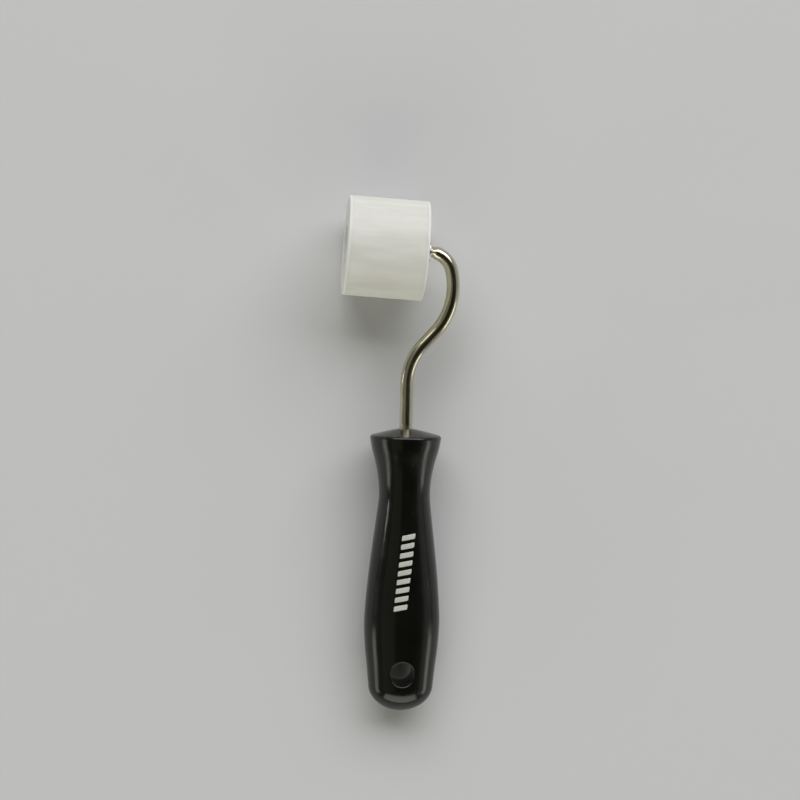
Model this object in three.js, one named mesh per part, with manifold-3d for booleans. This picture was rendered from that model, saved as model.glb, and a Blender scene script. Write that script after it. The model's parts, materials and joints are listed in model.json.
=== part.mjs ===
// A wallpaper seam roller. A white plastic roller turns on one end of a bent steel rod, and
// the rod's other end is set in a black plastic handle with a hole to hang it by.
//
// Millimetres and degrees. The tool's own frame starts where the rod enters the handle:
// +Y runs along the handle's axis towards the roller, +X to the side that the rod bows out
// to, and +Z up, away from the wall that is rolled. The finished group rests the tool on a
// table, on its roller and on the handle's belly, with its origin at the middle of the
// bottom of its box.

import * as THREE from "three";
import { mergeVertices } from "three/addons/utils/BufferGeometryUtils.js";
import Module from "manifold-3d";

const wasm = await Module();
wasm.setup();

// ---- Driving dimensions ----

const INCH = 25.4;
const TREAD_RADIUS = (1.5 * INCH) / 2;
const ROLLER_WIDTH = 30.8;
const ROD_RADIUS = 2.5;
const HANDLE_LENGTH = 108.7;

// How far the axle is from square to the handle's axis.
const AXLE_SKEW = 3.5;

// Clearances: on the radius round the rod, and between pieces that touch.
const RUNNING_GAP = 0.1;
const SEAM = 0.1;

// The rod, as it is bent: a straight run, then a bend after it. A turn to the left, seen
// from above, is positive. The last run is the axle.
const TANG_LENGTH = 60;
const NECK = { run: 16.8, turn: -42.8, radius: 22.2 };
const BOW = { run: 6, turn: 57.6, radius: 26.3 };
const HOOK = { run: 0, turn: 90 - AXLE_SKEW - NECK.turn - BOW.turn, radius: 9 };
const AXLE_INBOARD = 17.2;
const AXLE_OUTBOARD = 14.7;

// Squeezed places on the rod: wings that hold it in the handle, and ears that stop the roller.
const WING = { width: 6.8, length: 12, thickness: 2.4, depth: 30 };
const EAR = { length: 2, width: 3.8, height: 6.2 };

// The roller: a tube with a cap in each end, and a flanged bush in each cap.
const SLEEVE_WALL = 3;
const CAP_FLANGE = 1.2;
const CAP_WALL = 1.5;
const CAP_RIM_RADIUS = 0.8;
const SPIGOT_LENGTH = 6;
const HUB_RADIUS = 6.2;
const HUB_LENGTH = 9;
const BUSH_RADIUS = 4;
const BUSH_FLANGE = { radius: 5, thickness: 0.9 };
const BUSH_LENGTH = 8.5;
const EDGE_BREAK = 0.3;

// The recess in the face of each cap. The inboard one is shallow, so its bush stands out. The
// outboard one also holds the washer, the push nut and the rod's end, below the cap's face.
const INBOARD_RECESS = { radius: 5.3, depth: 0.4 };
const OUTBOARD_RECESS = { radius: 8.5, depth: 4.7 };

const INBOARD_WASHER = { radius: 4, thickness: 1 };
const OUTBOARD_WASHER = { radius: 5, thickness: 0.8 };
const PUSH_NUT = { radius: 5.6, toothRoot: 3.9, thickness: 0.45, dish: 0.8, slot: 0.9, slots: 3 };

// The handle's outline: half its width at distances behind its front. Its front is a dome
// that runs into a rounded rim, and its butt is half an ellipse.
const DOME = { crown: 3.2, edge: 12.6, rise: 2.6 };
const COLLAR = { radius: 13.6, behind: 3.9 };
const HANDLE_SIDE = [
  [8, 12.85],
  [14, 11.2],
  [20, 10.1],
  [26, 9.78],
  [32, 10.35],
  [44, 11.85],
  [58, 13.4],
  [68, 14.2],
  [75.5, 14.5],
  [84, 14],
  [92, 13.1],
];
const BUTT = { radius: 12.4, length: 10, startAngle: -7 };

// The handle is round at its waist and flatter than it is wide from its belly on.
const BELLY_THICKNESS = 0.74;
const WAIST = 26;
const BELLY = 70;

const HANG_HOLE = { radius: 4.5, fromButt: 14.9, halfDepth: 9.5, chamfer: 0.8 };

// How far a cutter reaches past the face that it opens.
const CLEAR = 3;

// Mesh fineness.
const TREAD_SIDES = 56;
const HANDLE_SIDES = 40;
const TURNED_SIDES = 32;
const ROD_SIDES = 16;
const ROD_STEPS = 76;
const WELD = 1e-4;

// ---- Solids ----

/** A closed geometry as a solid that can be joined and cut. */
function solidOf(geometry) {
  const bare = new THREE.BufferGeometry();
  bare.setAttribute("position", geometry.getAttribute("position"));
  bare.setIndex(geometry.getIndex());
  const welded = mergeVertices(bare, WELD);
  const mesh = new wasm.Mesh({
    numProp: 3,
    vertProperties: welded.getAttribute("position").array,
    triVerts: new Uint32Array(welded.getIndex().array),
  });
  return new wasm.Manifold(mesh);
}

/** The geometry of a solid that was joined or cut. */
function geometryOf(solid) {
  const mesh = solid.getMesh();
  const geometry = new THREE.BufferGeometry();
  geometry.setAttribute("position", new THREE.BufferAttribute(mesh.vertProperties, 3));
  geometry.setIndex(new THREE.BufferAttribute(mesh.triVerts, 1));
  geometry.computeVertexNormals();
  return geometry;
}

/** A piece turned about Y from an outline of [radius, height] points, listed anticlockwise. */
function turned(outline, sides = TURNED_SIDES) {
  const points = outline.map(([radius, height]) => new THREE.Vector2(radius, height));
  const flatAtQuarter = Math.PI / sides;
  return new THREE.LatheGeometry(points, sides, flatAtQuarter);
}

/** The same for an outline that doesn't reach the axis and so closes on itself. */
function turnedRing(outline, sides) {
  return turned([...outline, outline[0]], sides);
}

/** A rounded outer edge, from straight out of its centre to straight up from it. */
function roundedEdge(centreRadius, centreHeight, radius, steps = 4) {
  return Array.from({ length: steps + 1 }, (_, step) => {
    const angle = ((Math.PI / 2) * step) / steps;
    return [centreRadius + radius * Math.cos(angle), centreHeight + radius * Math.sin(angle)];
  });
}

function meshOf(name, geometry, material) {
  const mesh = new THREE.Mesh(geometry, material);
  mesh.name = name;
  return mesh;
}

// ---- The rod's centreline ----

/** A flat circular bend that starts at a point with a heading, in the XY plane. */
class Bend extends THREE.Curve {
  constructor(start, heading, turn, radius) {
    super();
    this.turn = turn;
    this.radius = radius;
    this.firstSpoke = heading - Math.sign(turn) * (Math.PI / 2);
    this.centre = start.clone().sub(this.spoke(this.firstSpoke));
  }

  spoke(angle) {
    return new THREE.Vector3(Math.cos(angle), Math.sin(angle), 0).multiplyScalar(this.radius);
  }

  getPoint(t, target = new THREE.Vector3()) {
    return target.copy(this.centre).add(this.spoke(this.firstSpoke + t * this.turn));
  }
}

/** The rod's centreline from the end of the tang to the end of the axle. */
function rodCentreline() {
  const line = new THREE.CurvePath();
  let at = new THREE.Vector3(0, -TANG_LENGTH, 0);
  let heading = Math.PI / 2;

  function run(length) {
    const step = new THREE.Vector3(Math.cos(heading), Math.sin(heading), 0);
    const end = at.clone().addScaledVector(step, length);
    line.add(new THREE.LineCurve3(at, end));
    at = end;
  }

  function bend(turnDegrees, radius) {
    const turn = THREE.MathUtils.degToRad(turnDegrees);
    const curve = new Bend(at, heading, turn, radius);
    line.add(curve);
    at = curve.getPoint(1);
    heading += turn;
  }

  run(TANG_LENGTH);
  for (const step of [NECK, BOW, HOOK]) {
    if (step.run > 0) run(step.run);
    bend(step.turn, step.radius);
  }
  run(AXLE_INBOARD + AXLE_OUTBOARD);
  return line;
}

const CENTRELINE = rodCentreline();
const AXLE_END = CENTRELINE.getPoint(1);
const OUTBOARD = CENTRELINE.getTangent(1);
const ROLLER_CENTRE = AXLE_END.clone().addScaledVector(OUTBOARD, -AXLE_OUTBOARD);
const OUTBOARD_TURN = new THREE.Quaternion().setFromUnitVectors(
  new THREE.Vector3(0, 1, 0),
  OUTBOARD,
);

// ---- Materials ----

const whitePlastic = () =>
  new THREE.MeshStandardMaterial({ color: 0xdedfda, roughness: 0.45, metalness: 0 });
const bushPlastic = () =>
  new THREE.MeshStandardMaterial({ color: 0xb9b8ac, roughness: 0.5, metalness: 0 });
const blackPlastic = () =>
  new THREE.MeshStandardMaterial({ color: 0x0b0c0b, roughness: 0.3, metalness: 0 });
const nickelPlate = () =>
  new THREE.MeshStandardMaterial({ color: 0xcbc8ba, roughness: 0.2, metalness: 1 });
const zincPlate = () =>
  new THREE.MeshStandardMaterial({ color: 0xa9abad, roughness: 0.35, metalness: 1 });

// ---- Handle and rod ----

/** How thick the handle is for its width, this far behind its front. */
function flatness(behind) {
  return 1 - (1 - BELLY_THICKNESS) * THREE.MathUtils.smoothstep(behind, WAIST, BELLY);
}

/** Half of the handle's outline, from the middle of its front to the middle of its butt. */
function handleOutline() {
  const outline = new THREE.Path();
  const slope = DOME.rise / (DOME.edge - DOME.crown);
  const rimCorner = DOME.rise + slope * (COLLAR.radius - DOME.edge);
  outline.moveTo(0, 0);
  outline.quadraticCurveTo(DOME.crown, 0, DOME.edge, -DOME.rise);
  outline.quadraticCurveTo(COLLAR.radius, -rimCorner, COLLAR.radius, -COLLAR.behind);

  const start = THREE.MathUtils.degToRad(BUTT.startAngle);
  const buttCentre = BUTT.length - HANDLE_LENGTH;
  const sideEnd = new THREE.Vector2(
    BUTT.radius * Math.cos(start),
    buttCentre + BUTT.length * Math.sin(start),
  );
  const side = HANDLE_SIDE.map(([behind, half]) => new THREE.Vector2(half, -behind));
  outline.splineThru([...side, sideEnd]);
  outline.absellipse(0, buttCentre, BUTT.radius, BUTT.length, start, -Math.PI / 2, true);
  return outline.getPoints(3);
}

function handleBlank() {
  const outline = handleOutline().reverse();
  const blank = turned(
    outline.map((point) => [Math.max(0, point.x), point.y]),
    HANDLE_SIDES,
  );
  const place = blank.getAttribute("position");
  for (let i = 0; i < place.count; i += 1) {
    place.setZ(i, place.getZ(i) * flatness(-place.getY(i)));
  }
  return blank;
}

/** The space that the tang fills: a bore with a pocket for each pair of wings. */
function socketCutter() {
  const radius = ROD_RADIUS + RUNNING_GAP;
  const depth = TANG_LENGTH + SEAM;
  const bore = turned([
    [0, -depth],
    [radius, -depth],
    [radius, CLEAR],
    [0, CLEAR],
  ]);
  const pocket = new THREE.BoxGeometry(
    WING.width + 2 * SEAM,
    WING.length + 2 * SEAM,
    WING.thickness + 2 * SEAM,
  );
  pocket.translate(0, -WING.depth, 0);
  return solidOf(bore).add(solidOf(pocket));
}

/** The hanging hole through the handle, with both of its edges broken. */
function hangHoleCutter() {
  const behind = HANDLE_LENGTH - HANG_HOLE.fromButt;
  const start = HANG_HOLE.halfDepth - HANG_HOLE.chamfer;
  const past = HANG_HOLE.halfDepth + CLEAR;
  const wide = HANG_HOLE.radius + past - start;
  const hole = turned([
    [0, -past],
    [wide, -past],
    [HANG_HOLE.radius, -start],
    [HANG_HOLE.radius, start],
    [wide, past],
    [0, past],
  ]);
  hole.rotateX(Math.PI / 2);
  hole.translate(0, -behind, 0);
  return solidOf(hole);
}

function handle() {
  const solid = solidOf(handleBlank()).subtract(socketCutter()).subtract(hangHoleCutter());
  return meshOf("handle", geometryOf(solid), blackPlastic());
}

/** The rod's two ears, squeezed out just inboard of the roller, as one flat lens. */
function ears() {
  const lens = new THREE.SphereGeometry(0.5, 12, 10);
  lens.scale(EAR.width, EAR.length, EAR.height);
  lens.applyQuaternion(OUTBOARD_TURN);
  const place = ROLLER_CENTRE.clone().addScaledVector(OUTBOARD, -AXLE_INBOARD - EAR.length / 2);
  lens.translate(place.x, place.y, place.z);
  return solidOf(lens);
}

function wings() {
  const wing = new THREE.BoxGeometry(WING.width, WING.length, WING.thickness);
  wing.translate(0, -WING.depth, 0);
  return solidOf(wing);
}

function rod() {
  const section = new THREE.Shape();
  section.absarc(0, 0, ROD_RADIUS, 0, 2 * Math.PI);
  const blank = new THREE.ExtrudeGeometry(section, {
    extrudePath: CENTRELINE,
    steps: ROD_STEPS,
    curveSegments: ROD_SIDES / 2,
    bevelEnabled: false,
  });
  const solid = solidOf(blank).add(ears()).add(wings());
  return meshOf("rod", geometryOf(solid), nickelPlate());
}

// ---- Roller: every height is along the axle from the roller's middle, outboard up ----

const FACE = ROLLER_WIDTH / 2;
const SPIGOT_RADIUS = TREAD_RADIUS - SLEEVE_WALL - SEAM;
const BORE = ROD_RADIUS + RUNNING_GAP;

function sleeve() {
  const end = FACE - CAP_FLANGE - SEAM;
  const inner = TREAD_RADIUS - SLEEVE_WALL;
  const outline = [
    [inner, -end],
    [TREAD_RADIUS - EDGE_BREAK, -end],
    [TREAD_RADIUS, -end + EDGE_BREAK],
    [TREAD_RADIUS, end - EDGE_BREAK],
    [TREAD_RADIUS - EDGE_BREAK, end],
    [inner, end],
  ];
  return meshOf("roller_sleeve", turnedRing(outline, TREAD_SIDES), whitePlastic());
}

/** A cap with its face at height 0 and everything else below it. */
function endCap(name, recess) {
  const floor = -recess.depth;
  const underFloor = floor - CAP_WALL;
  const hubEnd = floor - HUB_LENGTH;
  const cupRadius = recess.radius + CAP_WALL;
  const spigotEnd = -CAP_FLANGE - SPIGOT_LENGTH;
  const seat = BUSH_RADIUS + SEAM;
  const rimCentre = TREAD_RADIUS - CAP_RIM_RADIUS;
  const outline = [
    [seat, floor],
    [seat, hubEnd],
    [HUB_RADIUS, hubEnd],
    [HUB_RADIUS, underFloor],
    [cupRadius, underFloor],
    [cupRadius, -CAP_FLANGE],
    [SPIGOT_RADIUS - CAP_WALL, -CAP_FLANGE],
    [SPIGOT_RADIUS - CAP_WALL, spigotEnd],
    [SPIGOT_RADIUS - EDGE_BREAK, spigotEnd],
    [SPIGOT_RADIUS, spigotEnd + EDGE_BREAK],
    [SPIGOT_RADIUS, -CAP_FLANGE],
    [TREAD_RADIUS, -CAP_FLANGE],
    ...roundedEdge(rimCentre, -CAP_RIM_RADIUS, CAP_RIM_RADIUS),
    [recess.radius, 0],
    [recess.radius, floor],
  ];
  return meshOf(name, turnedRing(outline, TREAD_SIDES), whitePlastic());
}

/** A flanged bush with its flange's back at height 0 and its sleeve below it. */
function bush(name) {
  const outline = [
    [BORE, BUSH_FLANGE.thickness],
    [BORE, -BUSH_LENGTH],
    [BUSH_RADIUS - EDGE_BREAK, -BUSH_LENGTH],
    [BUSH_RADIUS, EDGE_BREAK - BUSH_LENGTH],
    [BUSH_RADIUS, 0],
    [BUSH_FLANGE.radius, 0],
    [BUSH_FLANGE.radius, BUSH_FLANGE.thickness],
  ];
  return meshOf(name, turnedRing(outline), bushPlastic());
}

/** A washer with its lower face at height 0. */
function washer(name, { radius, thickness }) {
  const outline = [
    [BORE, 0],
    [radius, 0],
    [radius, thickness],
    [BORE, thickness],
  ];
  return meshOf(name, turnedRing(outline), zincPlate());
}

/** A push nut: a flat ring whose dished middle is slit into teeth that grip the rod. */
function pushNut() {
  const { radius, toothRoot, thickness, dish, slot, slots } = PUSH_NUT;
  const grip = ROD_RADIUS + SEAM / 2;
  const ring = turnedRing([
    [grip, dish],
    [toothRoot, 0],
    [radius, 0],
    [radius, thickness],
    [toothRoot, thickness],
    [grip, dish + thickness],
  ]);
  let solid = solidOf(ring);
  for (let i = 0; i < slots; i += 1) {
    const cut = new THREE.BoxGeometry(2 * toothRoot, 4 * (dish + thickness), slot);
    cut.rotateY((Math.PI * (i + 0.5)) / slots);
    solid = solid.subtract(solidOf(cut));
  }
  return meshOf("push_nut", geometryOf(solid), zincPlate());
}

function at(height, mesh) {
  mesh.position.y = height;
  return mesh;
}

/** The same, turned end for end, so that the mesh's up faces inboard. */
function inboardAt(height, mesh) {
  mesh.position.y = -height;
  mesh.rotation.x = Math.PI;
  return mesh;
}

/** The roller with what holds it on the rod, along a Y axis that runs outboard. */
function rollerGroup() {
  const inboardBushSeat = FACE - INBOARD_RECESS.depth + SEAM;
  const outboardBushSeat = FACE - OUTBOARD_RECESS.depth + SEAM;
  const inboardWasherSeat = inboardBushSeat + BUSH_FLANGE.thickness + SEAM;
  const outboardWasherSeat = outboardBushSeat + BUSH_FLANGE.thickness + SEAM;
  const nutSeat = outboardWasherSeat + OUTBOARD_WASHER.thickness + SEAM;
  const group = new THREE.Group();
  group.add(
    sleeve(),
    at(FACE, endCap("outboard_end_cap", OUTBOARD_RECESS)),
    inboardAt(FACE, endCap("inboard_end_cap", INBOARD_RECESS)),
    at(outboardBushSeat, bush("outboard_bush")),
    inboardAt(inboardBushSeat, bush("inboard_bush")),
    at(outboardWasherSeat, washer("outboard_washer", OUTBOARD_WASHER)),
    inboardAt(inboardWasherSeat, washer("inboard_washer", INBOARD_WASHER)),
    at(nutSeat, pushNut()),
  );
  group.position.copy(ROLLER_CENTRE);
  group.quaternion.copy(OUTBOARD_TURN);
  return group;
}

// ---- The tool at rest on a table ----

/** How far the handle turns down about the axle, in radians, before it meets the table. */
function restingPitch(handleMesh, axleHeight) {
  const back = new THREE.Vector3(-OUTBOARD.y, OUTBOARD.x, 0);
  const place = handleMesh.geometry.getAttribute("position");
  const point = new THREE.Vector3();
  let pitch = Math.PI / 2;
  for (let i = 0; i < place.count; i += 1) {
    point.fromBufferAttribute(place, i).sub(ROLLER_CENTRE);
    const behind = point.dot(back);
    const reach = Math.hypot(behind, point.z);
    pitch = Math.min(pitch, Math.atan2(point.z, behind) + Math.asin(axleHeight / reach));
  }
  return pitch;
}

function seamRoller() {
  const axleHeight = TREAD_RADIUS * Math.cos(Math.PI / TREAD_SIDES);
  const handleMesh = handle();
  const pitch = restingPitch(handleMesh, axleHeight);

  const held = new THREE.Group();
  held.add(handleMesh, rod());
  const pitchTurn = new THREE.Quaternion().setFromAxisAngle(OUTBOARD, -pitch);
  held.quaternion.copy(pitchTurn);
  held.position.copy(ROLLER_CENTRE).sub(ROLLER_CENTRE.clone().applyQuaternion(pitchTurn));

  const tool = new THREE.Group();
  tool.add(held, rollerGroup());
  tool.updateMatrixWorld(true);
  const box = new THREE.Box3().setFromObject(tool, true);
  const middle = box.getCenter(new THREE.Vector3());
  tool.position.set(-middle.x, -middle.y, -box.min.z);

  const part = new THREE.Group();
  part.add(tool);
  return part;
}

export default seamRoller();
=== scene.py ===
"""A wallpaper seam roller at rest on a pale table, under soft studio light, seen from above.

The pieces are shaped in millimetres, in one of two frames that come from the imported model. In the
tool's frame +Y runs along the handle to the roller, +X to the side that the rod bows out to and +Z
up. In the axle's frame +Y runs outboard along the axle, from the roller's middle.
"""

import json
import math

import bmesh
import bpy
import numpy as np
from mathutils import Matrix, Vector


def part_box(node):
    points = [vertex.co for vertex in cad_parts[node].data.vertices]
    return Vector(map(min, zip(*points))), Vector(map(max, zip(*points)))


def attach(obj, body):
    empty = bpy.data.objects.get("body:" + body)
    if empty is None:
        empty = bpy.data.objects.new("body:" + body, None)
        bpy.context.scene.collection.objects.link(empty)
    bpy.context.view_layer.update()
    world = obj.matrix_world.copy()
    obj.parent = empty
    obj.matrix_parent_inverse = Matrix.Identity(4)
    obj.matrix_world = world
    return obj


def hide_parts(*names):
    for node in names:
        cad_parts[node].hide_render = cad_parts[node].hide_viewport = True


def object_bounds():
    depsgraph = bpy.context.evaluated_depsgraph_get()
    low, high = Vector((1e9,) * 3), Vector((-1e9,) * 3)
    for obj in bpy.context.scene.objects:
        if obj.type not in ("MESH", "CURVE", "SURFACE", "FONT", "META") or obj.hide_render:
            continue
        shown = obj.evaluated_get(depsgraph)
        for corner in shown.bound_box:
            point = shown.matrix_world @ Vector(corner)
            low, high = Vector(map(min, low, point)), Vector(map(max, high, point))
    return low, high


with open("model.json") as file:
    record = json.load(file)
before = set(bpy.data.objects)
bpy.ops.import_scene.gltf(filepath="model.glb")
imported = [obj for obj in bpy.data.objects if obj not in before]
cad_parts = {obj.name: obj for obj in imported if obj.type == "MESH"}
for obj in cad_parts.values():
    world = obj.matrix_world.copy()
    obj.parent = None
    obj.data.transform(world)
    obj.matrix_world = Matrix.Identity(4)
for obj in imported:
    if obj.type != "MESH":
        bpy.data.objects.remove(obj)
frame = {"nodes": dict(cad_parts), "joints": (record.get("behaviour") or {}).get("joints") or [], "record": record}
cad_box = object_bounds()

MM = 0.001
HOLDER = "handle_and_rod"

# The rod, as it is bent: a straight run in millimetres, then a turn in degrees, positive to the
# left, at a radius. The axle comes last.
ROD_RADIUS = 2.5
TANG_LENGTH = 60
AXLE_INBOARD = 17.2
AXLE_OUTBOARD = 14.7
ROD_BENDS = ((TANG_LENGTH + 16.8, -42.8, 22.2), (6, 57.6, 26.3), (0, 71.7, 9))
ROD_STEP = 0.25
ROD_SIDES = 48
ROD_CHAMFER = 0.5

# The squeezed places on the rod. The wings are in the handle, and the ears beside the roller.
WING_MIDDLE = 30
WING_LENGTH = 12
WING_SLOPE = 3
WING_HALF_WIDTH = 3.4
WING_HALF_THICKNESS = 1.6
EAR_MIDDLE = 1.0
EAR_HEIGHT = 0.6
EAR_DENT = 0.6
EAR_HALF_LENGTH = 0.6
EAR_SLOPE = 2.2

# The plating is dulled this far either side of the ears and of the handle's mouth.
DULLED_REACH = 1.5

# The gap round the rod in its socket.
RUNNING_GAP = 0.1

# The handle: half its width at distances behind its front, which is a dome with a rounded rim.
# Its butt is half an ellipse, which the side joins a few degrees in. The handle is round as far
# as its waist, and from its belly on it is thinner than it is wide.
HANDLE_LENGTH = 108.7
DOME_CROWN = 3.2
DOME_RADIUS = 12.6
DOME_RISE = 2.6
HANDLE_SIDE = (
    (3.9, 13.6), (8, 12.85), (14, 11.2), (20, 10.1), (26, 9.78), (32, 10.35),
    (44, 11.85), (58, 13.4), (68, 14.2), (75.5, 14.5), (84, 14), (92, 13.1),
)
BUTT_RADIUS = 12.4
BUTT_LENGTH = 10
BUTT_START = -7
BUTT_POINTS = 40
RIM_BEHIND = 3.0
WAIST = 26
BELLY = 70
BELLY_THICKNESS = 0.74
HANDLE_SIDES = 160

# Handling has rubbed the collar's rim and, less, the butt, this far either way.
RIM_WEAR_REACH = 0.8
BUTT_WEAR_REACH = 3.0
BUTT_WEAR = 0.5

# The socket in the handle's front: the rounding of its mouth, and where its straight part ends.
SOCKET_LIP = 0.5
SOCKET_END = 1.5

# The mould's parting lines, down the handle's two sides.
PARTING_ANGLES = (math.pi / 2, 1.5 * math.pi)
PARTING_HEIGHT = 0.04
PARTING_WIDTH = 0.12

# The hanging hole. The skin round it is made of level rings out to some way past its edge.
HOLE_BEHIND = HANDLE_LENGTH - 14.9
HOLE_RADIUS = 4.5
HOLE_ROUNDING = 0.9
HOLE_SIDES = 96
HOLE_RING_STEP = 0.4
HOLE_RINGS = 4
HOLE_MARGIN = 0.3
TUBE_STEPS = 6


# ---- Frames ----


def frame_at(origin, y_axis, z_axis):
    """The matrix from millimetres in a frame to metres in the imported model's frame."""
    y = Vector(y_axis).normalized()
    x = y.cross(Vector(z_axis)).normalized()
    turn = Matrix((x, y, x.cross(y))).transposed().to_4x4()
    return Matrix.Translation(origin) @ turn @ Matrix.Scale(MM, 4)


def axle_frame():
    """The frame whose +Y runs outboard along the axle, from the roller's middle."""
    spin = next(joint for joint in frame["joints"] if joint["name"] == "roller_spin")
    return frame_at(Vector(spin["pos_m"]), spin["axis"], (0, 0, 1))


def tool_frame(axle):
    """The frame at the handle's front, found from its butt and its hanging hole's seat.

    The seat is on the handle's axis and faces along it.
    """
    mounts = frame["record"]["mounts"]
    seat = next(mount for mount in mounts if mount["name"] == "hanging_hole_seat")
    start = Vector(seat["pos_m"])
    along = Vector(seat["axis"]).normalized()
    outboard = axle.to_3x3().col[1]
    butt = min((v.co - start).dot(along) for v in frame["nodes"]["handle"].data.vertices)
    front = start + along * (butt + HANDLE_LENGTH * MM)
    return frame_at(front, along, along.cross(outboard))


AXLE = axle_frame()
TOOL = tool_frame(AXLE)


def turned_size(node):
    """(bore, radius, bottom, top) of a CAD node turned about the axle, in the axle's frame."""
    to_axle = AXLE.inverted()
    points = [to_axle @ v.co for v in frame["nodes"][node].data.vertices]
    radii = [math.hypot(p.x, p.z) for p in points]
    heights = [p.y for p in points]
    return min(radii), max(radii), min(heights), max(heights)


# ---- Camera ----

# The picture is FRAMED_WIDTH wide at FRAMED_MIDDLE, a place in the tool's frame. The leans are in
# degrees.
CAMERA_DISTANCE = 1000
FRAMED_WIDTH = 305.9
FRAMED_MIDDLE = (-2.47, 10.72, 0)
TOOL_LEAN = 0.97
CAMERA_LEAN = 4.5


def add_camera():
    """Nearly overhead, a little to the outboard side, with the handle's axis leaning right."""
    data = bpy.data.cameras.new("camera")
    data.lens = data.sensor_width * CAMERA_DISTANCE / FRAMED_WIDTH
    camera = bpy.data.objects.new("camera", data)
    bpy.context.scene.collection.objects.link(camera)
    aim = Matrix.Translation(TOOL @ Vector(FRAMED_MIDDLE))
    turn = Matrix.Rotation(math.radians(TOOL_LEAN), 4, "Z")
    lean = Matrix.Rotation(-math.radians(CAMERA_LEAN), 4, "Y")
    camera.matrix_world = aim @ turn @ lean @ Matrix.Translation((0, 0, CAMERA_DISTANCE * MM))
    bpy.context.scene.camera = camera


# ---- Mesh helpers ----


def new_skin():
    """A bmesh whose points also carry their place in the grain and how worn they are, which on the caps' rims also
    sets a painted highlight.
    """
    bm = bmesh.new()
    bm.verts.layers.float_vector.new("grain")
    bm.verts.layers.float.new("wear_and_highlight")
    return bm


def add_point(bm, place, grain=None, wear_and_highlight=0.0):
    point = bm.verts.new(place)
    point[bm.verts.layers.float_vector["grain"]] = place if grain is None else grain
    point[bm.verts.layers.float["wear_and_highlight"]] = wear_and_highlight
    return point


def join_rings(bm, first, second):
    """Faces between two rings with the same number of points."""
    count = len(first)
    for i in range(count):
        j = (i + 1) % count
        bm.faces.new((first[i], first[j], second[j], second[i]))


def close_ring(bm, ring, tip):
    """Faces from a ring to a point."""
    for i, point in enumerate(ring):
        bm.faces.new((point, ring[(i + 1) % len(ring)], tip))


def solid_object(name, bm):
    """The bmesh as an object in the scene."""
    bmesh.ops.recalc_face_normals(bm, faces=bm.faces)
    mesh = bpy.data.meshes.new(name)
    bm.to_mesh(mesh)
    bm.free()
    solid = bpy.data.objects.new(name, mesh)
    bpy.context.scene.collection.objects.link(solid)
    return solid


def finish_piece(name, bm, place, body, finish, nodes=()):
    """Makes the bmesh a smooth piece that rides on a body and stands for its CAD nodes."""
    piece = solid_object(name, bm)
    piece.data.transform(place)
    piece.data.shade_smooth()
    piece.data.materials.append(finish)
    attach(piece, body)
    if nodes:
        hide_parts(*nodes)


def bezier(start, middle, end, steps):
    """Points on a quadratic curve, from start to end."""
    start, middle, end = Vector(start), Vector(middle), Vector(end)
    shares = [i / steps for i in range(steps + 1)]
    return [start * (1 - t) ** 2 + middle * 2 * t * (1 - t) + end * t * t for t in shares]


# A rounding takes up at most this share of a side. The point kept on the side's flat part stands
# this many roundings from the corner.
ROUNDING_SHARE = 0.3
KEPT_POINT = 1.2


def rounded(outline, usual, steps=4):
    """A closed outline of (radius, height) points with its corners rounded.

    A point may end with a rounding of its own. Each side keeps a point near each of its ends, so
    that smooth shading leaves its flat part flat.
    """
    corners = [Vector(corner[:2]) for corner in outline]
    result = []
    for i, corner in enumerate(corners):
        back = corners[i - 1] - corner
        ahead = corners[(i + 1) % len(corners)] - corner
        own = outline[i][2:]
        longest = ROUNDING_SHARE * min(back.length, ahead.length)
        reach = own[0] if own else min(usual, longest)
        back.normalize()
        ahead.normalize()
        result.append(corner + back * KEPT_POINT * reach)
        result += bezier(corner + back * reach, corner, corner + ahead * reach, steps)
        result.append(corner + ahead * KEPT_POINT * reach)
    return result


def unworn(radius, height):
    return 0.0


def revolve(outline, sides, wear_and_highlight=unworn):
    """A closed outline of (radius, height) points turned about the frame's Y axis."""
    bm = new_skin()
    along = 0.0
    previous = outline[0]
    rings = []
    for point in outline:
        along += (point - previous).length
        previous = point
        radius, height = point
        ring = []
        for i in range(sides):
            angle = 2 * math.pi * i / sides
            x, z = radius * math.cos(angle), radius * math.sin(angle)
            ring.append(add_point(bm, (x, height, z), (x, along, z), wear_and_highlight(radius, height)))
        rings.append(ring)
    for i, ring in enumerate(rings):
        join_rings(bm, rings[i - 1], ring)
    return bm


def smooth_step(t):
    """0 below 0, 1 above 1, and smooth between."""
    t = min(1.0, max(0.0, t))
    return t * t * (3 - 2 * t)


def bell(distance, spread):
    """1 at 0, falling smoothly to nearly 0 at twice the spread."""
    return math.exp(-((distance / spread) ** 2))


def plateau(distance, half_length, slope):
    """1 near 0, falling smoothly to 0. The slope's middle is half_length away."""
    return smooth_step((half_length + slope / 2 - abs(distance)) / slope)


# ---- Rod ----


def rod_stations():
    """The rod's centreline in the tool's frame, as (distance, x, y, heading), from the tang's end."""
    distance, x, y, heading = 0.0, 0.0, -float(TANG_LENGTH), math.pi / 2
    legs = []
    for run, turn, radius in ROD_BENDS:
        legs.append((run, 0.0))
        legs.append((abs(math.radians(turn)) * radius, math.radians(turn)))
    legs.append((AXLE_INBOARD + AXLE_OUTBOARD, 0.0))
    stations = [(distance, x, y, heading)]
    for length, turn in legs:
        steps = round(length / ROD_STEP)
        for _ in range(steps):
            half = turn / steps / 2
            chord = length / steps * (math.sin(half) / half if half else 1)
            heading += half
            x += chord * math.cos(heading)
            y += chord * math.sin(heading)
            heading += half
            distance += length / steps
            stations.append((distance, x, y, heading))
    return stations


def tang_section(behind):
    """Half the tang's width and thickness, this far behind the handle's front."""
    squeeze = plateau(behind - WING_MIDDLE, WING_LENGTH / 2, WING_SLOPE)
    half_width = ROD_RADIUS + (WING_HALF_WIDTH - ROD_RADIUS) * squeeze
    half_thickness = ROD_RADIUS + (WING_HALF_THICKNESS - ROD_RADIUS) * squeeze
    return half_width, half_thickness


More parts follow.
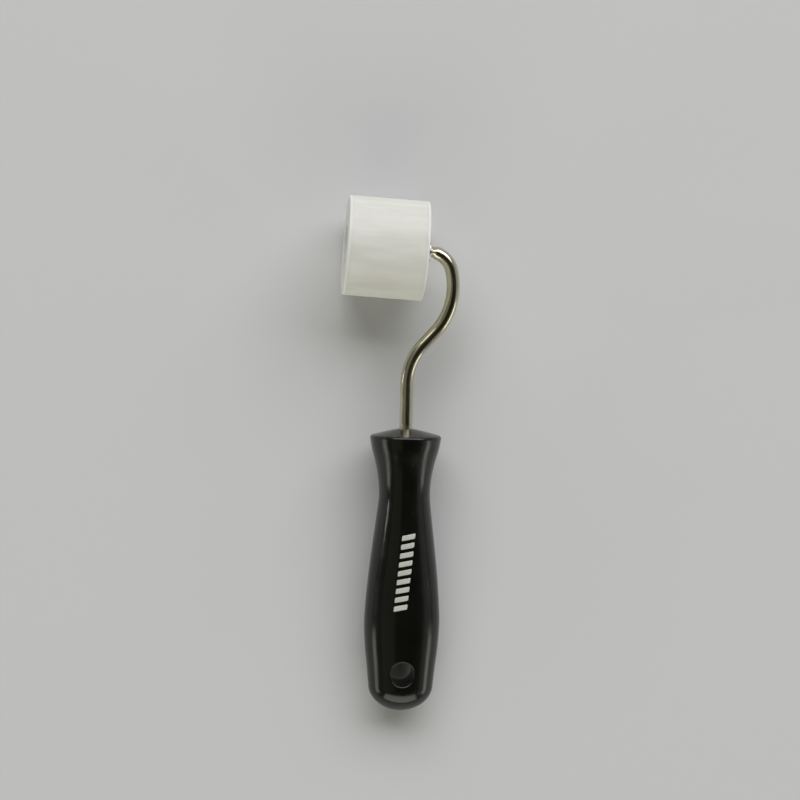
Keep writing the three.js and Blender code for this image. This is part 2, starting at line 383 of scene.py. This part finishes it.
def from_ears(to_end):
    """The distance along the rod from the middle of its ears."""
    return to_end - AXLE_OUTBOARD - AXLE_INBOARD - EAR_MIDDLE


def rod_section(distance, to_end, angle):
    """(across, up) on the rod's skin. The ears stand up where its sides are squeezed in."""
    half_width, half_thickness = tang_section(TANG_LENGTH - distance)
    ear = plateau(from_ears(to_end), EAR_HALF_LENGTH, EAR_SLOPE)
    chamfer = max(0.0, ROD_CHAMFER - to_end)
    across, up = math.cos(angle), math.sin(angle)
    across *= half_width - chamfer - EAR_DENT * ear
    up *= half_thickness - chamfer + EAR_HEIGHT * ear * abs(up) ** 3
    return across, up


def make_rod(finish):
    bm = new_skin()
    stations = rod_stations()
    length = stations[-1][0]
    rings = []
    for distance, x, y, heading in stations:
        side = Vector((math.sin(heading), -math.cos(heading), 0))
        to_end = length - distance
        near_ears = bell(from_ears(to_end), DULLED_REACH)
        near_handle = bell(TANG_LENGTH - distance, DULLED_REACH)
        ring = []
        for i in range(ROD_SIDES):
            across, up = rod_section(distance, to_end, 2 * math.pi * i / ROD_SIDES)
            place = Vector((x, y, up)) + side * across
            grain = (across, distance, up)
            ring.append(add_point(bm, place, grain, max(near_ears, near_handle)))
        rings.append(ring)
    for first, second in zip(rings, rings[1:]):
        join_rings(bm, first, second)
    for ring, (distance, x, y, _) in ((rings[0], stations[0]), (rings[-1], stations[-1])):
        close_ring(bm, ring, add_point(bm, (x, y, 0), (0, distance, 0)))
    finish_piece("bent_rod", bm, TOOL, HOLDER, finish, ["rod"])


# ---- Handle ----


def flatness(behind):
    """How thick the handle is for its width: round at its waist, flatter from its belly on."""
    return 1 - (1 - BELLY_THICKNESS) * smooth_step((behind - WAIST) / (BELLY - WAIST))


def spline(points, steps):
    """Points on a smooth curve through the given ones."""
    knots = [Vector(p) for p in (points[0], *points, points[-1])]
    result = []
    for before, start, end, after in zip(knots, knots[1:], knots[2:], knots[3:]):
        leave, arrive = (end - before) / 2, (after - start) / 2
        for i in range(steps):
            t = i / steps
            result.append(
                start * (2 * t**3 - 3 * t**2 + 1)
                + leave * (t**3 - 2 * t**2 + t)
                + end * (3 * t**2 - 2 * t**3)
                + arrive * (t**3 - t**2)
            )
    return result


def handle_outline():
    """(behind, half width) down the outside of the handle, from its socket's mouth to its butt."""
    mouth = ROD_RADIUS + RUNNING_GAP
    dome = bezier((0, 0), (0, DOME_CROWN), (DOME_RISE, DOME_RADIUS), steps=30)
    dome = [point for point in dome if point.y > mouth + SOCKET_LIP]
    edge = bezier((dome[0].x + SOCKET_LIP, mouth), (dome[0].x, mouth), dome[0], steps=5)
    side_start = Vector(HANDLE_SIDE[0])
    slope = DOME_RISE / (DOME_RADIUS - DOME_CROWN)
    rim_corner = (DOME_RISE + slope * (side_start.y - DOME_RADIUS), side_start.y)
    rim = bezier(dome[-1], rim_corner, side_start, steps=8)
    start = math.radians(BUTT_START)
    angles = np.linspace(start, -math.pi / 2, BUTT_POINTS)
    middle = HANDLE_LENGTH - BUTT_LENGTH
    butt = [(middle - BUTT_LENGTH * math.sin(a), BUTT_RADIUS * math.cos(a)) for a in angles]
    side = spline([*HANDLE_SIDE, butt[0]], steps=14)
    return [tuple(point) for point in (*edge, *dome[1:], *rim[1:], *side[1:], *butt)]


OUTLINE = handle_outline()
SIDE = np.array([point for point in OUTLINE if point[0] >= HANDLE_SIDE[0][0]])


def handle_height(x, y):
    """The height of the handle's upper skin over a point of the tool's plane."""
    half = float(np.interp(-y, SIDE[:, 0], SIDE[:, 1]))
    return half * flatness(-y) * math.sqrt(max(0.0, 1 - (x / half) ** 2))


def handle_angles():
    """Angles round the handle from its top, with more of them along its two parting lines."""
    even = [2 * math.pi * i / HANDLE_SIDES for i in range(HANDLE_SIDES)]
    offsets = [math.radians(degrees) for degrees in (-1, -0.5, 0.5, 1)]
    fine = [side + offset for side in PARTING_ANGLES for offset in offsets]
    return sorted(even + fine)


def parting_ridge(angle, half):
    """How far the mould's parting lines stand out of the handle's skin."""
    off_side = min(abs(angle - side) for side in PARTING_ANGLES)
    return PARTING_HEIGHT * bell(off_side * half, PARTING_WIDTH)


def handle_rings(bm):
    """The handle's skin as rings of points, from the bottom of its socket to its butt."""
    rings = []
    angles = handle_angles()
    for behind in np.arange(TANG_LENGTH, SOCKET_END, -1.0):
        half, up = (size + RUNNING_GAP for size in tang_section(behind))
        ring = [add_point(bm, (half * math.sin(a), -behind, up * math.cos(a))) for a in angles]
        rings.append(ring)
    for behind, half in OUTLINE[:-1]:
        up = half * flatness(behind)
        wear_and_highlight = bell(behind - RIM_BEHIND, RIM_WEAR_REACH)
        wear_and_highlight += BUTT_WEAR * bell(behind - HANDLE_LENGTH, BUTT_WEAR_REACH)
        ring = []
        for a in angles:
            ridge = parting_ridge(a, half) if behind > RIM_BEHIND else 0.0
            place = ((half + ridge) * math.sin(a), -behind, up * math.cos(a))
            ring.append(add_point(bm, place, wear_and_highlight=wear_and_highlight))
        rings.append(ring)
    return rings


def from_hole(place):
    """How far a place is from the hanging hole's axis."""
    return math.hypot(place[0], place[1] + HOLE_BEHIND)


def hole_profile():
    """(radius, drop) from the skin into the hanging hole: along the skin, then round its edge."""
    edge = HOLE_RADIUS + HOLE_ROUNDING
    flat = [(edge + HOLE_RING_STEP * k, 0.0) for k in range(HOLE_RINGS, 0, -1)]
    turn = bezier((edge, 0), (HOLE_RADIUS, 0), (HOLE_RADIUS, HOLE_ROUNDING), steps=7)
    return flat + [(radius, drop) for radius, drop in turn]


def hole_ring(bm, radius, drop, face):
    """A ring of the hole's skin, under the handle's upper face or over its lower one."""
    ring = []
    for i in range(HOLE_SIDES):
        angle = 2 * math.pi * i / HOLE_SIDES
        x, y = radius * math.cos(angle), radius * math.sin(angle) - HOLE_BEHIND
        place = (x, y, face * (handle_height(x, y) - drop))
        ring.append(add_point(bm, place))
    return ring


def tube_ring(bm, like, height):
    """A level ring of the hole's wall."""
    return [add_point(bm, (point.co.x, point.co.y, height)) for point in like]


def cut_hanging_hole(bm):
    """Takes the skin away round the hole and puts a rounded tube in its place."""
    patch = hole_profile()
    widest = patch[0][0] + HOLE_MARGIN
    doomed = [f for f in bm.faces if any(from_hole(v.co) < widest for v in f.verts)]
    doomed = [f for f in doomed if abs(f.calc_center_median().z) > ROD_RADIUS]
    bmesh.ops.delete(bm, geom=doomed, context="FACES")
    upper = [hole_ring(bm, radius, drop, 1) for radius, drop in patch]
    lower = [hole_ring(bm, radius, drop, -1) for radius, drop in patch]
    depth = handle_height(0, -HOLE_BEHIND) - HOLE_ROUNDING
    levels = [depth * k / TUBE_STEPS for k in range(TUBE_STEPS - 1, -TUBE_STEPS, -1)]
    wall = [tube_ring(bm, upper[-1], level) for level in levels]
    rings = upper + wall + lower[::-1]
    for first, second in zip(rings, rings[1:]):
        join_rings(bm, first, second)
    for face in (1, -1):
        gap = [e for e in bm.edges if e.is_boundary and e.verts[0].co.z * face > 0]
        bmesh.ops.bridge_loops(bm, edges=gap)


def make_handle(finish):
    bm = new_skin()
    rings = handle_rings(bm)
    for first, second in zip(rings, rings[1:]):
        join_rings(bm, first, second)
    close_ring(bm, rings[0], add_point(bm, (0, -TANG_LENGTH, 0)))
    close_ring(bm, rings[-1], add_point(bm, (0, -HANDLE_LENGTH, 0)))
    cut_hanging_hole(bm)
    finish_piece("moulded_handle", bm, TOOL, HOLDER, finish, ["handle"])


# ---- The print on the handle: a plain row of slanted bars ----

BARS = 9
BAR_PITCH = 3.4
BAR_WIDTH = 2.0
BAR_HEIGHT = 5.0
BAR_SLANT = 0.3
BAR_CORNER = 0.35
BAR_POINTS = 14
INK = 0.03

# The row's middle in the tool's frame, and its turn off the handle's axis in degrees.
PRINT_MIDDLE = (-0.1, -54.4)
PRINT_SKEW = 5.3


def bar_row(bm, along, across, half, height):
    """Two lines of points across the handle's length: on the ink, and just under it."""
    skew = math.radians(PRINT_SKEW)
    top, bottom = [], []
    for share in (-1, -0.6, 0, 0.6, 1):
        u = along + BAR_SLANT * across + half * share
        x = PRINT_MIDDLE[0] + across * math.cos(skew) + u * math.sin(skew)
        y = PRINT_MIDDLE[1] + u * math.cos(skew) - across * math.sin(skew)
        z = handle_height(x, y)
        edge = height if abs(share) < 1 else 0.0
        top.append(add_point(bm, (x, y, z + edge)))
        bottom.append(add_point(bm, (x, y, z - INK)))
    return top, bottom


def add_bar(bm, along):
    """One bar of ink, as a thin closed slab that follows the handle's skin."""
    ends = [BAR_CORNER * (1 - math.cos(math.radians(a))) for a in (0, 30, 60, 90)]
    middles = np.linspace(BAR_CORNER, BAR_HEIGHT - BAR_CORNER, BAR_POINTS)[1:-1]
    stops = [*ends, *middles, *(BAR_HEIGHT - e for e in reversed(ends))]
    rows = []
    for stop in stops:
        inset = max(0.0, BAR_CORNER - min(stop, BAR_HEIGHT - stop)) / BAR_CORNER
        half = BAR_WIDTH / 2 - BAR_CORNER * (1 - math.sqrt(1 - min(1.0, inset) ** 2))
        height = 0.0 if stop in (stops[0], stops[-1]) else INK
        rows.append(bar_row(bm, along, stop - BAR_HEIGHT / 2, half, height))
    loops = [top + bottom[::-1] for top, bottom in rows]
    for first, second in zip(loops, loops[1:]):
        join_rings(bm, first, second)
    bm.faces.new(loops[0])
    bm.faces.new(loops[-1])


def make_print(finish):
    bm = new_skin()
    for i in range(BARS):
        add_bar(bm, (i - (BARS - 1) / 2) * BAR_PITCH)
    finish_piece("handle_print", bm, TOOL, HOLDER, finish)


# ---- Roller ----

TREAD_SIDES = 256
HUB_SIDES = 96
SEAM = 0.1
TREAD_SEAM = 0.02
TREAD_EDGE = 0.06
RIM_ROUNDING = 0.8
CAP_FLANGE = 1.2
CAP_WALL = 1.5
SPIGOT_LENGTH = 6
SLEEVE_WALL = 3
HUB_RADIUS = 6.2
BUSH_FLANGE = 0.9
BUSH_RADIUS = 4.0
CORNER = 0.15
# How far from the caps' rims the rub wear and the painted rim highlight reach.
CAP_WEAR_AND_HIGHLIGHT_REACH = 0.8

# The recess in the face of each cap: its radius and its depth.
INBOARD_RECESS = (5.3, 0.4)
OUTBOARD_RECESS = (8.5, 4.7)

FACE = turned_size("outboard_end_cap")[3]
TREAD_RADIUS = (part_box("roller_sleeve")[1].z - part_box("roller_sleeve")[0].z) / 2 / MM


def faces_inboard(outline):
    """An outline that faced outboard, turned to face inboard."""
    return [Vector((radius, -height)) for radius, height in outline]


def make_sleeve(finish):
    end = FACE - CAP_FLANGE - TREAD_SEAM
    inner = TREAD_RADIUS - SLEEVE_WALL
    outline = rounded(
        [(inner, -end), (TREAD_RADIUS, -end), (TREAD_RADIUS, end), (inner, end)], TREAD_EDGE
    )
    bm = revolve(outline, TREAD_SIDES)
    finish_piece("tread_sleeve", bm, AXLE, "roller", finish, ["roller_sleeve"])


def cap_outline(recess, seat, hub_end):
    """A cap from its face down, with the flange's rim rounded more than its other edges."""
    recess_radius, floor = recess[0], FACE - recess[1]
    spigot = TREAD_RADIUS - SLEEVE_WALL - SEAM
    under_flange = FACE - CAP_FLANGE
    spigot_end = under_flange - SPIGOT_LENGTH
    cup = recess_radius + CAP_WALL
    corners = [
        (seat, floor),
        (seat, hub_end),
        (HUB_RADIUS, hub_end),
        (HUB_RADIUS, floor - CAP_WALL),
        (cup, floor - CAP_WALL),
        (cup, under_flange),
        (spigot - CAP_WALL, under_flange),
        (spigot - CAP_WALL, spigot_end),
        (spigot, spigot_end),
        (spigot, under_flange),
        (TREAD_RADIUS, under_flange, TREAD_EDGE),
        (TREAD_RADIUS, FACE, RIM_ROUNDING),
        (recess_radius, FACE),
        (recess_radius, floor),
    ]
    return rounded(corners, 2 * CORNER)


# The caps' rims: rubbed, and lifted towards white as a painted highlight.
def rim_wear_and_highlight(radius, height):
    return bell(math.hypot(TREAD_RADIUS - radius, FACE - abs(height)), CAP_WEAR_AND_HIGHLIGHT_REACH)


def make_caps(finish):
    seat, _, bottom, _ = turned_size("outboard_end_cap")
    outline = cap_outline(OUTBOARD_RECESS, seat, bottom)
    bm = revolve(outline, TREAD_SIDES, rim_wear_and_highlight)
    finish_piece(
        "outboard_cap", bm, AXLE, "roller", finish, ["outboard_end_cap"]
    )
    seat, _, _, top = turned_size("inboard_end_cap")
    outline = faces_inboard(cap_outline(INBOARD_RECESS, seat, -top))
    bm = revolve(outline, TREAD_SIDES, rim_wear_and_highlight)
    finish_piece("inboard_cap", bm, AXLE, "roller", finish, ["inboard_end_cap"])


def bush_outline(bore, flange_radius, end, face):
    """A flanged bush whose flange is outermost, from its bore."""
    under_flange = face - BUSH_FLANGE
    corners = [
        (bore, face),
        (bore, end),
        (BUSH_RADIUS, end),
        (BUSH_RADIUS, under_flange),
        (flange_radius, under_flange),
        (flange_radius, face),
    ]
    return rounded(corners, CORNER)


def make_bushes(finish):
    bore, radius, bottom, top = turned_size("outboard_bush")
    bm = revolve(bush_outline(bore, radius, bottom, top), HUB_SIDES)
    finish_piece(
        "outboard_bearing", bm, AXLE, "roller", finish, ["outboard_bush"]
    )
    bore, radius, bottom, top = turned_size("inboard_bush")
    bm = revolve(faces_inboard(bush_outline(bore, radius, -top, -bottom)), HUB_SIDES)
    finish_piece("inboard_bearing", bm, AXLE, "roller", finish, ["inboard_bush"])


def make_washers(finish):
    for side in ("outboard", "inboard"):
        node = side + "_washer"
        bore, radius, bottom, top = turned_size(node)
        outline = rounded([(bore, bottom), (radius, bottom), (radius, top), (bore, top)], CORNER)
        bm = revolve(outline, HUB_SIDES)
        finish_piece(side + "_thrust_washer", bm, AXLE, node, finish, [node])


# ---- Push nut ----

NUT_TOOTH_ROOT = 3.9
NUT_THICKNESS = 0.45
NUT_DISH = 0.8
NUT_SLOT_WIDTH = 0.9
NUT_BEVEL = 0.06
NUT_BEVEL_ANGLE = 40

# Each cutter reaches right across the nut, so it makes two slots.
NUT_CUTTERS = 3


def take_apart(solid):
    """Removes an object and returns its mesh, with its modifiers applied, as a bmesh."""
    evaluated = solid.evaluated_get(bpy.context.evaluated_depsgraph_get())
    bm = bmesh.new()
    bm.from_mesh(evaluated.to_mesh())
    bpy.data.objects.remove(solid)
    return bm


def slot_cutter(middle, reach, height, turn):
    """A block across the axle, as wide as a slot."""
    bm = bmesh.new()
    bmesh.ops.create_cube(bm, size=1.0)
    shape = Matrix.Diagonal((2 * reach, height, NUT_SLOT_WIDTH, 1))
    place = Matrix.Translation((0, middle, 0)) @ Matrix.Rotation(turn, 4, "Y")
    bm.transform(place @ shape)
    return solid_object("slot_cutter", bm)


def make_push_nut(finish):
    bore, radius, bottom, top = turned_size("push_nut")
    outline = [
        (bore, bottom + NUT_DISH),
        (NUT_TOOTH_ROOT, bottom),
        (radius, bottom),
        (radius, bottom + NUT_THICKNESS),
        (NUT_TOOTH_ROOT, bottom + NUT_THICKNESS),
        (bore, top),
    ]
    blank = revolve([Vector(corner) for corner in outline], HUB_SIDES)
    nut = solid_object("nut_blank", blank)
    cutters = []
    for i in range(NUT_CUTTERS):
        turn = math.pi * (i + 0.5) / NUT_CUTTERS
        cutter = slot_cutter((bottom + top) / 2, NUT_TOOTH_ROOT, 4 * NUT_DISH, turn)
        cut = nut.modifiers.new("cut", "BOOLEAN")
        cut.object = cutter
        cutters.append(cutter)
    edges = nut.modifiers.new("edges", "BEVEL")
    edges.width = NUT_BEVEL
    edges.segments = 2
    edges.angle_limit = math.radians(NUT_BEVEL_ANGLE)
    bm = take_apart(nut)
    for cutter in cutters:
        bpy.data.objects.remove(cutter)
    finish_piece("star_lock_nut", bm, AXLE, HOLDER, finish, ["push_nut"])


# ---- Materials ----


class Finish:
    """A Principled material whose patterns are measured in the piece's own millimetres."""

    def __init__(self, name, settings):
        self.material = bpy.data.materials.new(name)
        self.material.use_nodes = True
        self.tree = self.material.node_tree
        self.shader = self.tree.nodes["Principled BSDF"]
        for socket, value in settings.items():
            self.shader.inputs[socket].default_value = value
        self.grain = self.node("ShaderNodeAttribute", attribute_name="grain").outputs["Vector"]
        self.wear_and_highlight = self.node("ShaderNodeAttribute", attribute_name="wear_and_highlight").outputs["Fac"]

    def node(self, kind, inputs=None, **settings):
        node = self.tree.nodes.new(kind)
        for name, value in settings.items():
            setattr(node, name, value)
        for key, value in (inputs or {}).items():
            if isinstance(value, bpy.types.NodeSocket):
                self.tree.links.new(value, node.inputs[key])
            else:
                node.inputs[key].default_value = value
        return node

    def noise(self, size, stretch=(1, 1, 1), detail=2.0, shift=0.0):
        """Noise from 0 to 1 with features of a size in millimetres, stretched along the axes."""
        scale = [1 / (size * s) for s in stretch]
        mapped = self.node(
            "ShaderNodeMapping",
            {"Vector": self.grain, "Scale": scale, "Location": (shift, shift, shift)},
        )
        texture = self.node(
            "ShaderNodeTexNoise", {"Vector": mapped.outputs["Vector"], "Scale": 1.0, "Detail": detail}
        )
        return texture.outputs["Fac"]

    def spread(self, value, low, high, to_low, to_high):
        """The value's range from low to high, moved to another range and held within it."""
        inputs = {"Value": value, 1: low, 2: high, 3: to_low, 4: to_high}
        return self.node("ShaderNodeMapRange", inputs).outputs["Result"]

    def maths(self, operation, first, second):
        return self.node("ShaderNodeMath", {0: first, 1: second}, operation=operation).outputs[0]

    def colour(self, share, low, high):
        """A colour between two, by a share from 0 to 1."""
        mix = self.node("ShaderNodeMix", {"Factor": share}, data_type="RGBA")
        colour_sockets = (mix.inputs[6], mix.inputs[7])
        for socket, value in zip(colour_sockets, (low, high)):
            if isinstance(value, bpy.types.NodeSocket):
                self.tree.links.new(value, socket)
            else:
                socket.default_value = (*value, 1)
        return mix.outputs[2]

    def bump(self, height, depth, under=None):
        """A normal raised by up to a depth in millimetres."""
        inputs = {"Height": height, "Distance": depth * MM, "Strength": 1.0}
        if under is not None:
            inputs["Normal"] = under
        return self.node("ShaderNodeBump", inputs).outputs["Normal"]

    def set(self, **sockets):
        names = {"colour": "Base Color", "roughness": "Roughness", "normal": "Normal"}
        for name, value in sockets.items():
            self.tree.links.new(value, self.shader.inputs[names[name]])
        return self.material


def black_plastic():
    """Moulded black polypropylene: glossy, with faint orange peel and handling scuffs."""
    look = Finish("black_plastic", {"IOR": 1.49, "Specular IOR Level": 0.45})
    clouds = look.noise(11, detail=3)
    peel = look.noise(1.5)
    hairs = look.noise(0.3, (1, 30, 1), shift=3)
    scratched = look.spread(hairs, 0.62, 0.7, 0, 1)
    handled = look.spread(clouds, 0.45, 0.7, 0, 1)
    scuffs = look.maths("MULTIPLY", scratched, handled)
    patchy = look.spread(look.noise(1.6, detail=3, shift=5), 0.35, 0.75, 0, 1)
    worn = look.maths("MULTIPLY", look.wear_and_highlight, patchy)
    tone = look.colour(clouds, (0.0025, 0.0028, 0.002), (0.0055, 0.006, 0.0045))
    tone = look.colour(look.spread(worn, 0, 1, 0, 0.3), tone, (0.05, 0.05, 0.045))
    roughness = look.spread(clouds, 0.3, 0.7, 0.14, 0.22)
    roughness = look.maths("ADD", roughness, look.spread(scuffs, 0, 1, 0, 0.2))
    roughness = look.maths("ADD", roughness, look.spread(worn, 0, 1, 0, 0.15))
    normal = look.bump(peel, 0.012)
    normal = look.bump(hairs, 0.002, normal)
    return look.set(colour=tone, roughness=roughness, normal=normal)


def white_plastic(name, drawn):
    """Satin white plastic with faint lines the way it was drawn, a little grubby in places."""
    look = Finish(
        name,
        {
            "IOR": 1.5,
            "Subsurface Weight": 0.12,
            "Subsurface Radius": (1, 1, 0.8),
            "Subsurface Scale": 0.001,
        },
    )
    lines = look.noise(0.22, drawn, detail=3)
    bands = look.noise(4, [math.sqrt(stretch) for stretch in drawn], shift=2)
    clouds = look.noise(9, detail=3, shift=8)
    specks = look.spread(look.noise(0.5, shift=4), 0.7, 0.76, 0, 1)
    tone = look.colour(look.spread(bands, 0.35, 0.65, 0, 1), (0.69, 0.69, 0.63), (0.77, 0.77, 0.735))
    tone = look.colour(look.spread(clouds, 0.35, 0.75, 0, 0.3), tone, (0.66, 0.65, 0.58))
    tone = look.colour(look.spread(specks, 0, 1, 0, 0.25), tone, (0.42, 0.4, 0.35))
    # Towards the caps' rims the colour is lifted to near white: partly rub wear, mostly a painted highlight along
    # the rounded rims.
    tone = look.colour(look.spread(look.wear_and_highlight, 0, 1, 0, 0.7), tone, (0.9, 0.91, 0.92))
    roughness = look.spread(clouds, 0.3, 0.7, 0.36, 0.48)
    roughness = look.maths("SUBTRACT", roughness, look.spread(look.wear_and_highlight, 0, 1, 0, 0.15))
    roughness = look.maths("ADD", roughness, look.spread(lines, 0.3, 0.7, 0, 0.08))
    normal = look.bump(lines, 0.006)
    normal = look.bump(look.noise(0.9, shift=6), 0.006, normal)
    return look.set(colour=tone, roughness=roughness, normal=normal)


def nickel_plate():
    """Bright nickel over drawn wire: fine lines along the rod, faint pits and tarnish."""
    look = Finish("nickel_plate", {"Metallic": 1.0})
    lines = look.noise(0.16, (1, 60, 1), detail=3)
    clouds = look.noise(5, (1, 2, 1), detail=3, shift=2)
    pits = look.spread(look.noise(0.35, shift=5), 0.68, 0.74, 0, 1)
    tone = look.colour(clouds, (0.54, 0.51, 0.37), (0.62, 0.59, 0.46))
    tone = look.colour(look.spread(pits, 0, 1, 0, 0.35), tone, (0.4, 0.35, 0.27))
    tone = look.colour(look.spread(look.wear_and_highlight, 0, 1, 0, 0.25), tone, (0.5, 0.45, 0.36))
    roughness = look.spread(clouds, 0.3, 0.7, 0.1, 0.2)
    roughness = look.maths("ADD", roughness, look.spread(lines, 0.35, 0.65, 0, 0.06))
    roughness = look.maths("ADD", roughness, look.spread(look.wear_and_highlight, 0, 1, 0, 0.12))
    normal = look.bump(lines, 0.0025)
    normal = look.bump(look.noise(2.5, shift=7), 0.006, normal)
    return look.set(colour=tone, roughness=roughness, normal=normal)


def zinc_plate():
    """Zinc-plated stamped steel, with fine tumbling marks."""
    look = Finish("zinc_plate", {"Metallic": 1.0})
    marks = look.noise(0.25, detail=3)
    clouds = look.noise(1.8, shift=3)
    tone = look.colour(clouds, (0.5, 0.51, 0.53), (0.62, 0.63, 0.64))
    roughness = look.spread(marks, 0.3, 0.7, 0.28, 0.42)
    return look.set(colour=tone, roughness=roughness, normal=look.bump(marks, 0.01))


def acetal():
    """Natural acetal bushes, slightly translucent."""
    look = Finish(
        "acetal",
        {"Subsurface Weight": 0.2, "Subsurface Radius": (1, 1, 0.8), "Subsurface Scale": 0.001},
    )
    lines = look.noise(0.2, (40, 1, 40))
    clouds = look.noise(2.5, shift=3)
    tone = look.colour(clouds, (0.55, 0.55, 0.49), (0.63, 0.63, 0.57))
    roughness = look.spread(lines, 0.3, 0.7, 0.35, 0.48)
    return look.set(colour=tone, roughness=roughness, normal=look.bump(lines, 0.004))


def white_ink():
    """Pad-printed white ink, thin in places."""
    look = Finish("white_ink", {"IOR": 1.45})
    thin = look.spread(look.noise(0.45, detail=3), 0.58, 0.72, 0, 1)
    clouds = look.noise(3, shift=3)
    tone = look.colour(clouds, (0.50, 0.52, 0.46), (0.60, 0.62, 0.56))
    tone = look.colour(look.spread(thin, 0, 1, 0, 0.7), tone, (0.1, 0.1, 0.09))
    roughness = look.spread(clouds, 0.3, 0.7, 0.4, 0.55)
    return look.set(colour=tone, roughness=roughness, normal=look.bump(thin, -0.01))


def table_top():
    """A plain pale surface."""
    material = bpy.data.materials.new("table_top")
    material.use_nodes = True
    nodes, links = material.node_tree.nodes, material.node_tree.links
    shader = nodes["Principled BSDF"]
    shader.inputs["Base Color"].default_value = (0.63, 0.635, 0.64, 1)
    shader.inputs["Roughness"].default_value = 0.65
    shader.inputs["Specular IOR Level"].default_value = 0.3
    place = nodes.new("ShaderNodeTexCoord")
    texture = nodes.new("ShaderNodeTexNoise")
    texture.inputs["Scale"].default_value = 900
    bump = nodes.new("ShaderNodeBump")
    bump.inputs["Distance"].default_value = 0.00002
    links.new(place.outputs["Object"], texture.inputs["Vector"])
    links.new(texture.outputs["Fac"], bump.inputs["Height"])
    links.new(bump.outputs["Normal"], shader.inputs["Normal"])
    return material


# ---- Table, light and sky ----

# In metres.
TABLE_REACH = 20.0
TABLE_GAP = 0.0002
PANEL_DISTANCE = 7.2


def add_table():
    bm = bmesh.new()
    bmesh.ops.create_grid(bm, x_segments=1, y_segments=1, size=TABLE_REACH)
    mesh = bpy.data.meshes.new("table")
    bm.to_mesh(mesh)
    bm.free()
    mesh.materials.append(table_top())
    table = bpy.data.objects.new("table", mesh)
    table.location.z = cad_box[0].z - TABLE_GAP
    bpy.context.scene.collection.objects.link(table)


def add_panel(name, azimuth, elevation, size, brightness, tint=(1, 1, 1)):
    """A soft light panel that faces the tool. Its width and height are shares of its distance.

    Azimuth 0 is towards the roller's end, and 90 towards the side that the rod bows out to.
    """
    target = (cad_box[0] + cad_box[1]) / 2
    turn, rise = math.radians(azimuth), math.radians(elevation)
    level = Vector((math.sin(turn), math.cos(turn), 0))
    away = level * math.cos(rise) + Vector((0, 0, math.sin(rise)))
    data = bpy.data.lights.new(name, "AREA")
    data.shape = "RECTANGLE"
    data.size, data.size_y = (share * PANEL_DISTANCE for share in size)
    data.energy = brightness * math.pi * data.size * data.size_y
    data.color = tint
    panel = bpy.data.objects.new(name, data)
    panel.location = target + away * PANEL_DISTANCE
    panel.rotation_euler = away.to_track_quat("Z", "Y").to_euler()
    bpy.context.scene.collection.objects.link(panel)


def add_light():
    add_panel("key", 8, 40, (1.75, 0.7), 3.35, (0.985, 0.985, 1))
    add_panel("front_fill", 180, 24, (1.5, 0.58), 1.97, (1, 0.99, 0.89))
    add_panel("left_sheet", -90, 55, (1.33, 0.67), 0.16, (1, 1, 0.8))
    add_panel("left_strip", -86, 12, (0.12, 0.04), 18.5)
    add_panel("right_fill", 95, 20, (1.33, 0.5), 0.25)
    add_panel("left_corner", -113, 8, (0.38, 0.25), 2.2, (1, 0.97, 0.86))
    add_panel("right_corner", 113, 8, (0.38, 0.25), 2.2, (1, 0.97, 0.86))


def add_sky():
    """A dim room, darker overhead."""
    world = bpy.data.worlds.new("room")
    bpy.context.scene.world = world
    world.use_nodes = True
    nodes, links = world.node_tree.nodes, world.node_tree.links
    place = nodes.new("ShaderNodeTexCoord")
    split = nodes.new("ShaderNodeSeparateXYZ")
    ramp = nodes.new("ShaderNodeValToRGB")
    ramp.color_ramp.elements[0].position = 0.25
    ramp.color_ramp.elements[0].color = (0.24, 0.24, 0.22, 1)
    ramp.color_ramp.elements[1].position = 0.8
    ramp.color_ramp.elements[1].color = (0.022, 0.02, 0.013, 1)
    links.new(place.outputs["Generated"], split.inputs["Vector"])
    links.new(split.outputs["Z"], ramp.inputs["Fac"])
    links.new(ramp.outputs["Color"], nodes["Background"].inputs["Color"])
    nodes["Background"].inputs["Strength"].default_value = 0.65


# ---- The scene ----

add_camera()
make_handle(black_plastic())
make_print(white_ink())
make_rod(nickel_plate())
make_sleeve(white_plastic("drawn_white_plastic", (1, 40, 1)))
make_caps(white_plastic("turned_white_plastic", (40, 1, 40)))
make_bushes(acetal())
zinc = zinc_plate()
make_washers(zinc)
make_push_nut(zinc)
add_table()
add_light()
add_sky()
bpy.context.scene.view_settings.view_transform = "Standard"
